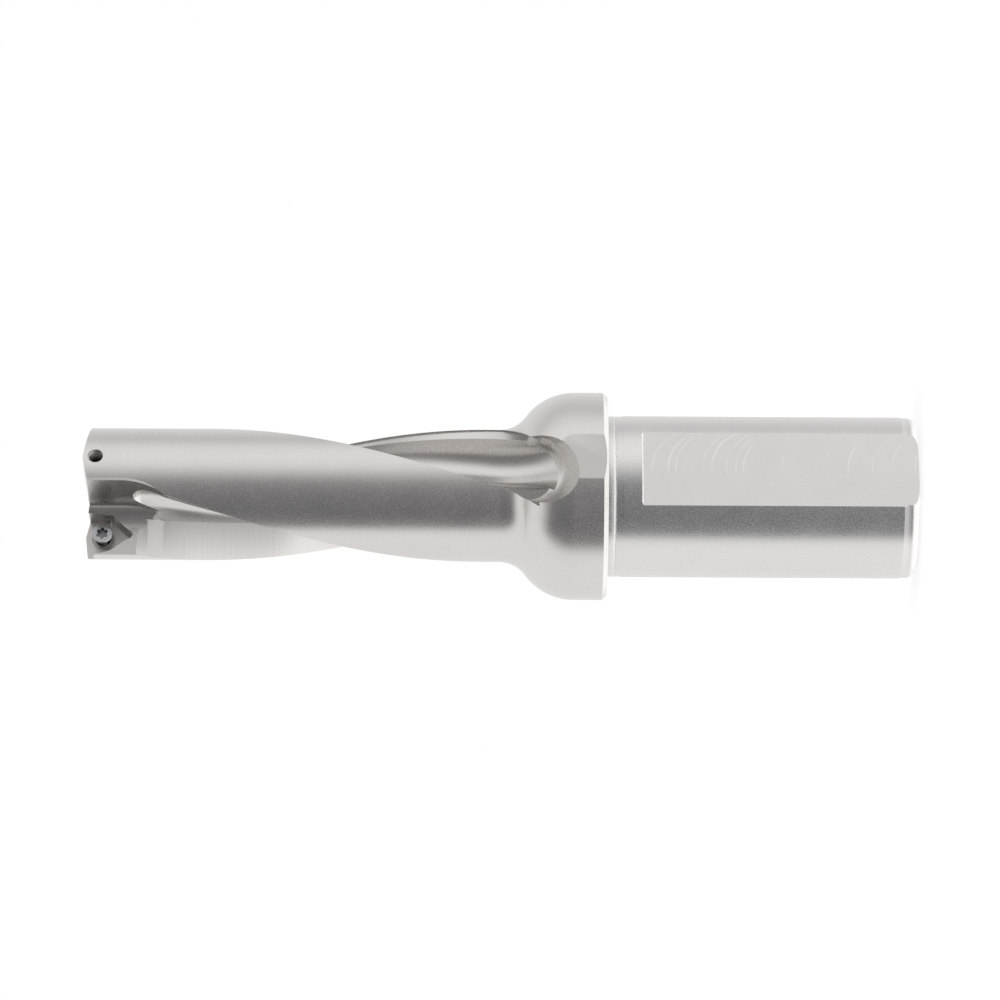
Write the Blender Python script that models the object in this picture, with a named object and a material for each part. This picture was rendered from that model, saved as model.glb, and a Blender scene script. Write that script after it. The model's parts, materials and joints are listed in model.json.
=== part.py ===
"""Indexable drill: a turned and milled tool body with two helical flutes, two insert pockets and their screws.

The drill stands on the end of its shank. Z is the drill's axis, with the cutting end up, and the origin is the
centre of the shank's end face. The side flat of the shank faces -Y. All sizes are in metres.

Each cutting side is built in its own side frame: x runs outward to the drill's edge, y is the way that the
insert's rake face looks, and the land that carries the insert lies behind it at negative y.
"""

import math

import bmesh
import bpy
from mathutils import Matrix, Vector

# Shank
SHANK_DIAMETER = 0.032
SHANK_LENGTH = 0.0608
SHANK_END_ROUND = 0.0015
SIDE_FLAT_DEPTH = 0.002
SIDE_FLAT_LENGTH = 0.0542
NECK_LENGTH = 0.0025
NECK_DEPTH = 0.0001
NECK_GROOVE_WIDTH = 0.0003
NECK_GROOVE_DEPTH = 0.0002

# Flange and the turned blend from the flange to the fluted body
FLANGE_DIAMETER = 0.0411
FLANGE_THICKNESS = 0.0065
FLANGE_CHAMFER = 0.0009
FLANGE_FLAT_DEPTH = 0.00055
DOME_RADIUS = 0.012
BLEND_RADIUS = 0.0065

# Fluted body
BODY_DIAMETER = 0.026
BODY_BACK_TAPER = 0.0001
OVERALL_LENGTH = 0.165

# Helical flutes: the section is measured from the drill's axis, depth outward and width across
FLUTE_LEAD = 0.2508
FLUTE_TURN_AT_BLEND = -64.8
FLUTE_FLOOR = 0.0036
HEEL_FILLET_RADIUS = 0.0049
HEEL_WALL_WIDTH = 0.00639
HEEL_WALL_TOP = 0.00937
HEEL_WALL_LEAN = 9.0
HEEL_CHAMFER_WIDTH = 0.0017
HEEL_CHAMFER_RISE = 0.0008
RAKE_FILLET_RADIUS = 0.0039
RAKE_FILLET_TURN = 49.0
RAKE_WALL_WIDTH = 0.0085
RAKE_WALL_TOP = 0.00985
HEEL_CHAMFER_FADE = (0.0765, 0.0850)
HEEL_OUTER_LEAN = 40.0
FLUTE_RUN_OUT = 0.0052
RUN_OUT_FLOOR_REACH = 0.0065
RUN_OUT_EDGE_REACH = 0.0032
FLUTE_FRONT = 0.0148
HEEL_FRONT = 0.0102
RAKE_FRONT = 0.0114
HEEL_FRONT_ROUND = 0.87
HEEL_SWEEP = (0.0147, 0.0055)
FILLET_SWEEP = (0.0200, 0.0150)
FACE_DEEPENING = 0.0003
FACE_DEEPENING_LENGTH = 0.012

# Round pocket that the flute's cutter leaves where it runs out: (depth, offset, height, radius) from outside
# inward, in a frame turned so that depth runs out along the cutter
RUN_OUT_TURN = -110.0
RUN_OUT_CIRCLES = (
    (0.0240, 0.00425, 0.0724, 0.00674),
    (0.0100, 0.00470, 0.0751, 0.00645),
    (0.0082, 0.00440, 0.0757, 0.00595),
    (0.0070, 0.00400, 0.0764, 0.00510),
    (0.0064, 0.00380, 0.0768, 0.00380),
)

# Inserts that the pockets are made for: trigon, with three corners of 80 degrees
INSERT_CIRCLE = 0.00794
INSERT_THICKNESS = 0.00318
INSERT_CORNER_ANGLE = 80.0
INSERT_CLEARANCE_ANGLE = 7.0
POCKET_CLEARANCE = 0.00005
POCKET_FRONT_SPREAD = 0.0002
CORNER_RELIEF_RADIUS = 0.00095
SIDE_RELIEF_RADIUS = 0.0006

# Insert screws and their tapped holes, which run right through each land
THREAD_DIAMETER = 0.003
THREAD_CLEARANCE = 0.0003
SCREW_HEAD_DIAMETER = 0.004
SCREW_HEAD_RIM = 0.0004
SCREW_HEAD_CONE = 0.0012
SCREW_LENGTH = 0.0085
SCREW_HEAD_SINK = 0.0002
RECESS_OUTER_DIAMETER = 0.0025
RECESS_INNER_DIAMETER = 0.0018
RECESS_DEPTH = 0.0011
HOLE_RIM_DIAMETER = 0.0044
HOLE_RIM_DEPTH = 0.00025

# Coolant channels
INLET_DIAMETER = 0.011
INLET_DEPTH = 0.042
INLET_CHAMFER = 0.001
CHANNEL_DIAMETER = 0.004
CHANNEL_TOP = 0.122
BRANCH_DIAMETER = 0.0028
DRILL_POINT_ANGLE = 118.0

# Smoothness
TURNED_SEGMENTS = 96
ARC_STEPS = 10
HELIX_STEPS = 24
FRONT_STEPS = 6
ROUND_END_STEPS = 12
RUN_OUT_SEGMENTS = 40
HOLE_SEGMENTS = 24

CLEAR = 0.004


class Side:
    """One cutting side: where its insert sits and how its chip gullet is cut."""

    def __init__(self, name, turn, insert_offset, insert_setback, insert_tilt, front_setback, wall_offset, wall_lean):
        self.name = name
        self.frame = Matrix.Rotation(math.radians(turn), 4, "Z")
        self.insert_offset = insert_offset
        self.insert_height = OVERALL_LENGTH - insert_setback
        self.insert_tilt = insert_tilt
        self.front_setback = front_setback
        self.wall_offset = wall_offset
        self.wall_lean = wall_lean


PERIPHERAL = Side("peripheral", 180.0, 0.0084, 0.0044, 3.0, 0.0006, 0.0031, 4.3)
CENTRAL = Side("central", 0.0, 0.0027, 0.0037, 2.0, 0.0011, -0.0013, 3.0)
SIDES = (PERIPHERAL, CENTRAL)

# Gullets beside the pockets, in each side's frame
GULLET_FILLET_RADIUS = 0.005
GULLET_SHELF_HEIGHT = 0.002
GULLET_SHELF_WIDTH = 0.0003
CENTRAL_FILLET_RADIUS = 0.0025
GULLET_STRAIGHT_LENGTH = 0.002
GULLET_SWEEP_RADIUS = 0.048
GULLET_LENGTH = 0.0215
GULLET_STEPS = 10

# Front faces: each slopes both ways from a ridge in front of its insert
FRONT_RELIEF = 2.5
FRONT_OVERLAP = 0.0002


def clear_scene():
    for obj in list(bpy.data.objects):
        bpy.data.objects.remove(obj, do_unlink=True)


def metal(name, colour, roughness):
    """A steel finish on a Principled shader."""
    finish = bpy.data.materials.new(name)
    finish.use_nodes = True
    shader = finish.node_tree.nodes["Principled BSDF"]
    shader.inputs["Base Color"].default_value = (*colour, 1.0)
    shader.inputs["Metallic"].default_value = 1.0
    shader.inputs["Roughness"].default_value = roughness
    return finish


def add_object(name, mesh_data, finish=None):
    """Turns a bmesh into an object, with its normals out and its round faces smooth."""
    bmesh.ops.recalc_face_normals(mesh_data, faces=mesh_data.faces)
    mesh = bpy.data.meshes.new(name)
    mesh_data.to_mesh(mesh)
    mesh_data.free()
    mesh.shade_smooth()
    mesh.set_sharp_from_angle(angle=math.radians(30.0))
    obj = bpy.data.objects.new(name, mesh)
    bpy.context.scene.collection.objects.link(obj)
    if finish:
        mesh.materials.append(finish)
    return obj


def cut(body, cutters):
    """Takes the shapes of all the cutters out of the body in one live Boolean."""
    tools = bpy.data.collections.new(body.name + "_cutters")
    bpy.context.scene.collection.children.link(tools)
    for cutter in cutters:
        bpy.context.scene.collection.objects.unlink(cutter)
        tools.objects.link(cutter)
        cutter.hide_render = True
        cutter.display_type = "WIRE"
    step = body.modifiers.new("machining", "BOOLEAN")
    step.operation = "DIFFERENCE"
    step.solver = "EXACT"
    step.operand_type = "COLLECTION"
    step.collection = tools


def arc(centre, radius, start, end, steps=ARC_STEPS):
    """Points on a circle from one angle to another, in degrees, both ends included."""
    angles = [math.radians(start + (end - start) * k / steps) for k in range(steps + 1)]
    return [(centre[0] + radius * math.cos(a), centre[1] + radius * math.sin(a)) for a in angles]


def turned_mesh(profile, segments):
    """Revolves (radius, height) points about Z. The first and last points lie on the axis."""
    mesh = bmesh.new()
    bottom = mesh.verts.new((0.0, 0.0, profile[0][1]))
    top = mesh.verts.new((0.0, 0.0, profile[-1][1]))
    rings = []
    for radius, height in profile[1:-1]:
        turns = [2.0 * math.pi * k / segments for k in range(segments)]
        rings.append([mesh.verts.new((radius * math.cos(t), radius * math.sin(t), height)) for t in turns])
    for k in range(segments):
        after = (k + 1) % segments
        mesh.faces.new((bottom, rings[0][after], rings[0][k]))
        mesh.faces.new((top, rings[-1][k], rings[-1][after]))
        for low, high in zip(rings, rings[1:]):
            mesh.faces.new((low[k], low[after], high[after], high[k]))
    return mesh


def stacked_mesh(rings):
    """Skins a stack of closed outlines, all with the same number of points, and caps both ends."""
    mesh = bmesh.new()
    rows = [[mesh.verts.new(point) for point in ring] for ring in rings]
    for low, high in zip(rows, rows[1:]):
        for k in range(len(low)):
            after = (k + 1) % len(low)
            mesh.faces.new((low[k], low[after], high[after], high[k]))
    mesh.faces.new(rows[0][::-1])
    mesh.faces.new(rows[-1])
    return mesh


def drilled(name, start, end, diameter, point_angle=None, segments=HOLE_SEGMENTS):
    """A round cutter from one point to another, with a drill point past its end if it has an angle."""
    way = Vector(end) - Vector(start)
    radius = diameter / 2.0
    profile = [(0.0, 0.0), (radius, 0.0), (radius, way.length)]
    tip = radius / math.tan(math.radians(point_angle / 2.0)) if point_angle else 0.0
    profile.append((0.0, way.length + tip))
    mesh = turned_mesh(profile, segments)
    turn = way.to_track_quat("Z", "Y").to_matrix().to_4x4()
    bmesh.ops.transform(mesh, matrix=Matrix.Translation(start) @ turn, verts=mesh.verts)
    return add_object(name, mesh)


def body_profile():
    """The turned outline of the body, from the middle of the shank end to the middle of the front."""
    shank = SHANK_DIAMETER / 2.0
    neck = shank - NECK_DEPTH
    flange = FLANGE_DIAMETER / 2.0
    body = BODY_DIAMETER / 2.0
    neck_foot = SHANK_LENGTH - NECK_LENGTH
    groove = shank - NECK_GROOVE_DEPTH
    band_top = SHANK_LENGTH + FLANGE_THICKNESS
    points = [(0.0, 0.0)]
    points += arc((shank - SHANK_END_ROUND, SHANK_END_ROUND), SHANK_END_ROUND, -90.0, 0.0, 6)
    points += [(shank, neck_foot - NECK_GROOVE_WIDTH), (groove, neck_foot - NECK_GROOVE_WIDTH / 2.0)]
    points += [(neck, neck_foot), (neck, SHANK_LENGTH)]
    points += [(flange - FLANGE_CHAMFER, SHANK_LENGTH), (flange, SHANK_LENGTH + FLANGE_CHAMFER)]
    dome_centre, blend_centre = blend_centres()
    meet = math.degrees(math.atan2(blend_centre[1] - band_top, blend_centre[0] - dome_centre[0]))
    points += arc(dome_centre, DOME_RADIUS, 0.0, meet, 12)
    points += arc(blend_centre, BLEND_RADIUS, meet + 180.0, 180.0, 7)[1:]
    points += [(body, OVERALL_LENGTH + CLEAR), (0.0, OVERALL_LENGTH + CLEAR)]
    return points


def blend_centres():
    """Centres of the dome's arc and of the hollow arc that carries it into the body."""
    band_top = SHANK_LENGTH + FLANGE_THICKNESS
    dome = FLANGE_DIAMETER / 2.0 - DOME_RADIUS
    blend = BODY_DIAMETER / 2.0 + BODY_BACK_TAPER + BLEND_RADIUS
    rise = math.sqrt((DOME_RADIUS + BLEND_RADIUS) ** 2 - (blend - dome) ** 2)
    return (dome, band_top), (blend, band_top + rise)


def blend_end():
    """Height at which the blend has run into the straight body."""
    return blend_centres()[1][1]


def flute_turn(height):
    """Angle of the central side's flute about Z, in radians, at a height."""
    return math.radians(FLUTE_TURN_AT_BLEND) + 2.0 * math.pi * (height - blend_end()) / FLUTE_LEAD


def heel_side(height):
    """The smooth side of the flute's section as (half width, depth), from the floor outward."""
    lean = math.radians(HEEL_WALL_LEAN)
    start = -90.0
    stop = -math.degrees(lean)
    wall_foot = HEEL_WALL_WIDTH - (HEEL_WALL_TOP - FLUTE_FLOOR) * math.tan(lean)
    middle = wall_foot - HEEL_FILLET_RADIUS * math.tan((math.pi / 2.0 - lean) / 2.0)
    points = arc((middle, FLUTE_FLOOR + HEEL_FILLET_RADIUS), HEEL_FILLET_RADIUS, start, stop, 6)
    points.append((HEEL_WALL_WIDTH, HEEL_WALL_TOP))
    low, high = HEEL_CHAMFER_FADE
    chamfer = HEEL_CHAMFER_WIDTH * min(max((height - low) / (high - low), 0.0), 1.0)
    points.append((HEEL_WALL_WIDTH + chamfer, HEEL_WALL_TOP + HEEL_CHAMFER_RISE))
    rise = FLANGE_DIAMETER / 2.0 + CLEAR - points[-1][1]
    lean = math.tan(math.radians(HEEL_OUTER_LEAN))
    points.append((HEEL_WALL_WIDTH + chamfer - rise * lean, FLANGE_DIAMETER / 2.0 + CLEAR))
    return points


def rake_side(count):
    """The rake side of the section: a fillet from the floor, then a straight face out to the edge."""
    centre = (0.0, FLUTE_FLOOR + RAKE_FILLET_RADIUS)
    points = arc(centre, RAKE_FILLET_RADIUS, -90.0, RAKE_FILLET_TURN - 90.0, count - 3)
    foot, top = points[-1], (RAKE_WALL_WIDTH, RAKE_WALL_TOP)
    rise = FLANGE_DIAMETER / 2.0 + CLEAR - RAKE_WALL_TOP
    reach = rise * (top[0] - foot[0]) / (top[1] - foot[1])
    return points + [top, (RAKE_WALL_WIDTH + reach, RAKE_WALL_TOP + rise)]


def flute_point(width, depth, height):
    """A point of the flute's section in the drill's frame. Width is positive on the heel side."""
    turn = flute_turn(height)
    x = depth * math.cos(turn) - width * math.sin(turn)
    y = depth * math.sin(turn) + width * math.cos(turn)
    return Vector((x, y, height))


def swept_up(height, sweep):
    """How far the floor has come up at a height, along an arc given by its setback and its radius."""
    setback, radius = sweep
    along = max(height - OVERALL_LENGTH + setback, 0.0)
    return radius - math.sqrt(radius * radius - along * along)


def front_narrowed(points, height, share):
    """The heel side near the front end: it is drawn in there, and its floor comes up."""
    narrow = math.sqrt(1.0 - (HEEL_FRONT_ROUND * share) ** 2)
    lift = swept_up(height, HEEL_SWEEP)
    wall = HEEL_WALL_TOP - FLUTE_FLOOR
    return [(w * narrow, d + lift * max((HEEL_WALL_TOP - d) / wall, 0.0)) for w, d in points]


def front_bent(points, height):
    """The rake side near the front end: its fillet comes up there, and its face runs deeper."""
    start = OVERALL_LENGTH - RAKE_FRONT - FACE_DEEPENING_LENGTH
    deeper = FACE_DEEPENING * (max(height - start, 0.0) / FACE_DEEPENING_LENGTH) ** 2
    fillet = len(points) - 3
    lift = swept_up(height, FILLET_SWEEP)
    bent = [(w, d + lift * min(2.0 * (fillet - k) / fillet, 1.0)) for k, (w, d) in enumerate(points[:fillet])]
    return bent + [(w, d - deeper) for w, d in points[fillet:]]


def run_out_bowl(mesh, row, heel, rake, height):
    """Closes the flute at the blend with a bowl that joins its two sides."""
    floor_pole, top_pole = row[0], row[1 + len(heel)]
    columns = [row[1 : 1 + len(heel)]]
    for k in range(1, ROUND_END_STEPS):
        turn = math.pi * k / ROUND_END_STEPS
        share = 0.5 - 0.5 * math.cos(turn)
        column = []
        for level, ((heel_width, heel_depth), (rake_width, rake_depth)) in enumerate(zip(heel, rake)):
            width = heel_width - (rake_width + heel_width) * share
            depth = heel_depth + (rake_depth - heel_depth) * share
            point = flute_point(width, depth, height)
            point.z += run_out_rise(turn, level)
            column.append(mesh.verts.new(point))
        columns.append(column)
    columns.append(row[2 + len(heel) :][::-1])
    for one, other in zip(columns, columns[1:]):
        mesh.faces.new((floor_pole, one[0], other[0]))
        mesh.faces.new((top_pole, other[-1], one[-1]))
        for k in range(len(one) - 1):
            mesh.faces.new((one[k], one[k + 1], other[k + 1], other[k]))


def flute_cutter(side):
    """A helical flute that runs out in a bowl at the blend and ends behind the insert's pocket."""
    low = blend_end() - FLUTE_RUN_OUT
    high = OVERALL_LENGTH - FLUTE_FRONT
    steps = [(low + (high - low) * k / HELIX_STEPS, 0.0) for k in range(HELIX_STEPS)]
    steps += [(high, k / FRONT_STEPS) for k in range(FRONT_STEPS + 1)]
    mesh = bmesh.new()
    rows = []
    for height, share in steps:
        heel_height = height + (FLUTE_FRONT - HEEL_FRONT) * share
        rake_height = height + (FLUTE_FRONT - RAKE_FRONT) * share
        heel = front_narrowed(heel_side(heel_height), heel_height, share)
        rake = front_bent(rake_side(len(heel)), rake_height)
        middle = (heel_height + rake_height) / 2.0
        row = [(0.0, (heel[0][1] + rake[0][1]) / 2.0, middle)] + [(width, depth, heel_height) for width, depth in heel]
        row += [(0.0, heel[-1][1], middle)] + [(-width, depth, rake_height) for width, depth in rake[::-1]]
        rows.append([mesh.verts.new(flute_point(*point)) for point in row])
        if len(rows) == 1:
            run_out_bowl(mesh, rows[0], heel, rake, low)
    for one, other in zip(rows, rows[1:]):
        for k in range(len(one)):
            after = (k + 1) % len(one)
            mesh.faces.new((one[k], one[after], other[after], other[k]))
    mesh.faces.new(rows[-1])
    bmesh.ops.transform(mesh, matrix=side.frame, verts=mesh.verts)
    return add_object(side.name + "_flute_cutter", mesh)


def run_out_rise(turn, level):
    """The flute's end at the blend is a bowl: the higher the level, the further down it reaches."""
    side = heel_side(0.0)
    if level >= len(side) - 2:
        return -RUN_OUT_EDGE_REACH * math.sin(turn)
    return -RUN_OUT_FLOOR_REACH * side[level][0] / HEEL_WALL_WIDTH * math.sin(turn)


def run_out_cutter(side):
    """The round pocket at the flute's end, cut by the end and the corner of the flute's cutter."""
    frame = side.frame @ Matrix.Rotation(math.radians(RUN_OUT_TURN), 4, "Z")
    rings = []
    for depth, offset, height, radius in RUN_OUT_CIRCLES:
        ring = []
        for k in range(RUN_OUT_SEGMENTS):
            turn = 2.0 * math.pi * k / RUN_OUT_SEGMENTS
            ring.append(frame @ Vector((depth, offset + radius * math.cos(turn), height + radius * math.sin(turn))))
        rings.append(ring)
    return add_object(side.name + "_run_out_cutter", stacked_mesh(rings))


def gullet_outline(side):
    """Plan of the straight gullet in the side's frame, from the flat round to the wall."""
    reach = BODY_DIAMETER / 2.0 + CLEAR
    lean = math.tan(math.radians(side.wall_lean))
    if side is PERIPHERAL:
        shelf = side.wall_offset + GULLET_SHELF_WIDTH
        drop = GULLET_FILLET_RADIUS - GULLET_SHELF_HEIGHT
        middle = shelf + math.sqrt(GULLET_FILLET_RADIUS**2 - drop**2)
        stop = 180.0 + math.degrees(math.asin(drop / GULLET_FILLET_RADIUS))
        fillet = arc((middle, GULLET_FILLET_RADIUS), GULLET_FILLET_RADIUS, 270.0, stop, 8)
        foot = (side.wall_offset, GULLET_SHELF_HEIGHT)
    else:
        middle = side.wall_offset + CENTRAL_FILLET_RADIUS
        fillet = arc((middle, CENTRAL_FILLET_RADIUS), CENTRAL_FILLET_RADIUS, 270.0, 180.0, 8)
        foot = (side.wall_offset - 0.0001, CENTRAL_FILLET_RADIUS + 0.0001)
    top = (foot[0] - lean * (reach - foot[1]), reach)
    return [(reach, 0.0)] + fillet + [foot, top, (reach, reach)]


def gullet_cutter(side):
    """The chip gullet beside the pocket, which swings outward into the helical flute."""
    outline = gullet_outline(side)
    top = OVERALL_LENGTH + 2.0 * CLEAR
    rings = []
    for k in range(GULLET_STEPS + 1):
        drop = (GULLET_LENGTH - GULLET_STRAIGHT_LENGTH) * (1.0 - k / GULLET_STEPS)
        height = OVERALL_LENGTH - GULLET_STRAIGHT_LENGTH - drop
        swing = GULLET_SWEEP_RADIUS - math.sqrt(GULLET_SWEEP_RADIUS**2 - drop**2)
        rings.append([(x + swing, y, height) for x, y in outline])
    rings.append([(x, y, top) for x, y in outline])
    mesh = stacked_mesh(rings)
    bmesh.ops.transform(mesh, matrix=side.frame, verts=mesh.verts)
    return add_object(side.name + "_gullet_cutter", mesh)


def trigon(circle):
    """Corners of a trigon as (across, along), the first one at the back."""
    half = math.radians(INSERT_CORNER_ANGLE / 2.0)
    corner = circle / 2.0 / math.sin(half)
    middle = circle / 2.0 / math.sin(math.pi / 3.0 + half)
    points = []
    for k in range(6):
        turn = math.radians(-90.0 + 60.0 * k)
        radius = corner if k % 2 == 0 else middle
        points.append((radius * math.cos(turn), radius * math.sin(turn)))
    return points


def seat_frame(side):
    """Frame of a pocket: x inward, y to the front along the insert, z out of the floor toward the chips."""
    tilt = Matrix.Rotation(-math.radians(side.insert_tilt), 4, "Y")
    place = Matrix.Translation((side.insert_offset, 0.0, side.insert_height))
    stand = Matrix(((-1, 0, 0, 0), (0, 0, 1, 0), (0, 1, 0, 0), (0, 0, 0, 1)))
    return side.frame @ place @ tilt @ stand


def pocket_cutter(side):
    """The insert's own shape, open to the front, with walls that lean as the insert's sides do."""
    lean = math.tan(math.radians(INSERT_CLEARANCE_ANGLE))
    above = GULLET_SHELF_HEIGHT + CENTRAL_FILLET_RADIUS
    circle = INSERT_CIRCLE + 2.0 * POCKET_CLEARANCE
    rings = []
    for level in (-INSERT_THICKNESS, 0.0, above):
        outline = trigon(circle + 2.0 * lean * min(level, 0.0))
        outline[2] = (outline[1][0] + POCKET_FRONT_SPREAD, outline[2][1])
        rings.append([(x, y, level) for x, y in outline])
    mesh = stacked_mesh(rings)
    bmesh.ops.transform(mesh, matrix=seat_frame(side), verts=mesh.verts)
    return add_object(side.name + "_pocket_cutter", mesh)


def relief_cutters(side):
    """Round reliefs at the pocket's back corner and at its inner side corner."""
    lean = math.tan(math.radians(INSERT_CLEARANCE_ANGLE))
    above = GULLET_SHELF_HEIGHT + CENTRAL_FILLET_RADIUS
    points = trigon(INSERT_CIRCLE - 2.0 * lean * INSERT_THICKNESS)
    places = ((points[0], CORNER_RELIEF_RADIUS, "corner"), (points[1], SIDE_RELIEF_RADIUS, "side"))
    made = []
    for (x, y), radius, word in places:
        distance = math.hypot(x, y)
        inward = (distance - radius * 0.55) / distance
        start = seat_frame(side) @ Vector((x * inward, y * inward, -INSERT_THICKNESS))
        end = seat_frame(side) @ Vector((x * inward, y * inward, above))
        made.append(drilled(f"{side.name}_{word}_relief_cutter", start, end, 2.0 * radius))
    return made


def screw_hole_cutters(side):
    """The tapped hole through the land and the shallow round step about its mouth."""
    floor = -INSERT_THICKNESS
    mouth = seat_frame(side) @ Vector((0.0, 0.0, floor + HOLE_RIM_DEPTH))
    step = seat_frame(side) @ Vector((0.0, 0.0, floor - HOLE_RIM_DEPTH))
    far = seat_frame(side) @ Vector((0.0, 0.0, -BODY_DIAMETER))
    rim = drilled(side.name + "_hole_rim_cutter", mouth, step, HOLE_RIM_DIAMETER)
    hole = drilled(side.name + "_screw_hole_cutter", mouth, far, THREAD_DIAMETER)
    return [rim, hole]


def front_cutters(side, other):
    """What lies in front of the side's front face, which slopes both ways from its ridge."""
    reach = BODY_DIAMETER / 2.0 + CLEAR
    top = OVERALL_LENGTH + 2.0 * CLEAR
    slope = 90.0 - INSERT_CORNER_ANGLE
    inner = math.tan(math.radians(slope + side.insert_tilt))
    outer = math.tan(math.radians(slope - side.insert_tilt))
    relief = math.tan(math.radians(FRONT_RELIEF))
    half = math.radians(INSERT_CORNER_ANGLE / 2.0)
    apex = INSERT_CIRCLE / 2.0 / math.sin(math.pi / 3.0 + half)
    ridge_x = side.insert_offset - apex * math.sin(math.radians(side.insert_tilt))
    ridge_z = side.insert_height + apex - side.front_setback

    def face(x, y):
        fall = (ridge_x - x) * inner if x < ridge_x else (x - ridge_x) * outer
        return ridge_z - fall + (y + INSERT_THICKNESS) * relief

    edge = side.wall_offset - FRONT_OVERLAP
    spans = (
        ((edge, ridge_x, reach), reach),
        ((-other.wall_offset - FRONT_OVERLAP, edge + 2.0 * FRONT_OVERLAP), FRONT_OVERLAP),
    )
    made = []
    for number, (stations, y_high) in enumerate(spans):
        rings = []
        for y in (-reach, y_high):
            low = [(x, y, face(x, y)) for x in stations]
            rings.append(low + [(stations[-1], y, top), (stations[0], y, top)])
        mesh = stacked_mesh(rings)
        bmesh.ops.transform(mesh, matrix=side.frame, verts=mesh.verts)
        made.append(add_object(f"{side.name}_front_cutter_{number + 1}", mesh))
    return made


def flat_cutter(name, distance, low, high):
    """A block that leaves a flat facing -Y at a distance from the axis."""
    reach = FLANGE_DIAMETER
    corners = [(-reach, -reach), (reach, -reach), (reach, -distance), (-reach, -distance)]
    return add_object(name, stacked_mesh([[(x, y, z) for x, y in corners] for z in (low, high)]))


def coolant_cutters():
    """The inlet bore, the channel up the middle and a branch to each land's front face."""
    made = [drilled("inlet_cutter", (0, 0, -CLEAR), (0, 0, INLET_DEPTH), INLET_DIAMETER, DRILL_POINT_ANGLE, 40)]
    mouth = INLET_DIAMETER / 2.0
    profile = [(0.0, -CLEAR), (mouth + INLET_CHAMFER + CLEAR, -CLEAR), (0.0, mouth + INLET_CHAMFER)]
    made.append(add_object("inlet_chamfer_cutter", turned_mesh(profile, 40)))
    channel = (0, 0, INLET_DEPTH), (0, 0, CHANNEL_TOP)
    made.append(drilled("channel_cutter", *channel, CHANNEL_DIAMETER, DRILL_POINT_ANGLE))
    for side, x, y in ((PERIPHERAL, 0.0036, -0.007), (CENTRAL, 0.0078, -0.0055)):
        root = Vector((0.0, 0.0, CHANNEL_TOP - CHANNEL_DIAMETER / 2.0))
        mouth_point = side.frame @ Vector((x, y, OVERALL_LENGTH))
        way = (mouth_point - root).normalized()
        made.append(drilled(side.name + "_branch_cutter", root, mouth_point + way * CLEAR, BRANCH_DIAMETER))
    return made


def drill_body(finish):
    """The one-piece body: turned first, then every milled and drilled feature taken out."""
    body = add_object("drill_body", turned_mesh(body_profile(), TURNED_SEGMENTS), finish)
    shank = SHANK_DIAMETER / 2.0
    flange = FLANGE_DIAMETER / 2.0
    flange_foot = SHANK_LENGTH - NECK_LENGTH / 2.0
    cutters = [
        flat_cutter("side_flat_cutter", shank - SIDE_FLAT_DEPTH, -CLEAR, SIDE_FLAT_LENGTH),
        flat_cutter("flange_flat_cutter", flange - FLANGE_FLAT_DEPTH, flange_foot, blend_end()),
    ]
    for side, other in (SIDES, SIDES[::-1]):
        cutters += front_cutters(side, other)
        cutters += [flute_cutter(side), run_out_cutter(side), gullet_cutter(side), pocket_cutter(side)]
        cutters += relief_cutters(side) + screw_hole_cutters(side)
    cut(body, cutters + coolant_cutters())
    return body


def recess_mesh():
    """The six-lobed drive recess, from above the head down to its floor."""
    steps = 36
    middle = (RECESS_OUTER_DIAMETER + RECESS_INNER_DIAMETER) / 4.0
    swing = (RECESS_OUTER_DIAMETER - RECESS_INNER_DIAMETER) / 4.0
    rings = []
    for height in (-RECESS_DEPTH, CLEAR):
        ring = []
        for k in range(steps):
            turn = 2.0 * math.pi * k / steps
            radius = middle + swing * math.cos(6.0 * turn)
            ring.append((radius * math.cos(turn), radius * math.sin(turn), height))
        rings.append(ring)
    return stacked_mesh(rings)


def insert_screw(side, finish):
    """A countersunk screw, with its head where it would lie in the insert."""
    head = SCREW_HEAD_DIAMETER / 2.0
    shaft = THREAD_DIAMETER / 2.0 - THREAD_CLEARANCE
    cone_foot = -SCREW_HEAD_RIM - SCREW_HEAD_CONE
    profile = [(0.0, -SCREW_LENGTH), (shaft - THREAD_CLEARANCE, -SCREW_LENGTH)]
    profile += [(shaft, -SCREW_LENGTH + THREAD_CLEARANCE), (shaft, cone_foot)]
    profile += [(head, -SCREW_HEAD_RIM), (head, -SCREW_HEAD_RIM / 4.0)]
    profile += [(head - SCREW_HEAD_RIM / 4.0, 0.0), (0.0, 0.0)]
    screw = add_object(side.name + "_insert_screw", turned_mesh(profile, 48), finish)
    recess = add_object(side.name + "_recess_cutter", recess_mesh())
    place = seat_frame(side) @ Matrix.Translation((0.0, 0.0, -SCREW_HEAD_SINK))
    screw.matrix_world = place
    recess.matrix_world = place
    cut(screw, [recess])
    return screw


def main():
    clear_scene()
    body_steel = metal("nickel_plated_steel", (0.58, 0.56, 0.54), 0.35)
    screw_steel = metal("screw_steel", (0.40, 0.40, 0.41), 0.25)
    drill_body(body_steel)
    for side in SIDES:
        insert_screw(side, screw_steel)


main()
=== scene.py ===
"""Looks of the indexable drill: a satin nickel-grey body with milled flutes, two screws and tapped holes.

The drill stands on the end of its shank, with its axis along Z and the side flat of the shank toward -Y. All
sizes are in metres. Each cutting side is built in its own side frame: x runs outward to the drill's edge, y
is the way that the insert's rake face looks, and the land that carries the insert lies behind it at negative
y.
"""

import json
import math

import bmesh
import bpy
import numpy as np
from mathutils import Matrix, Vector

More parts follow.
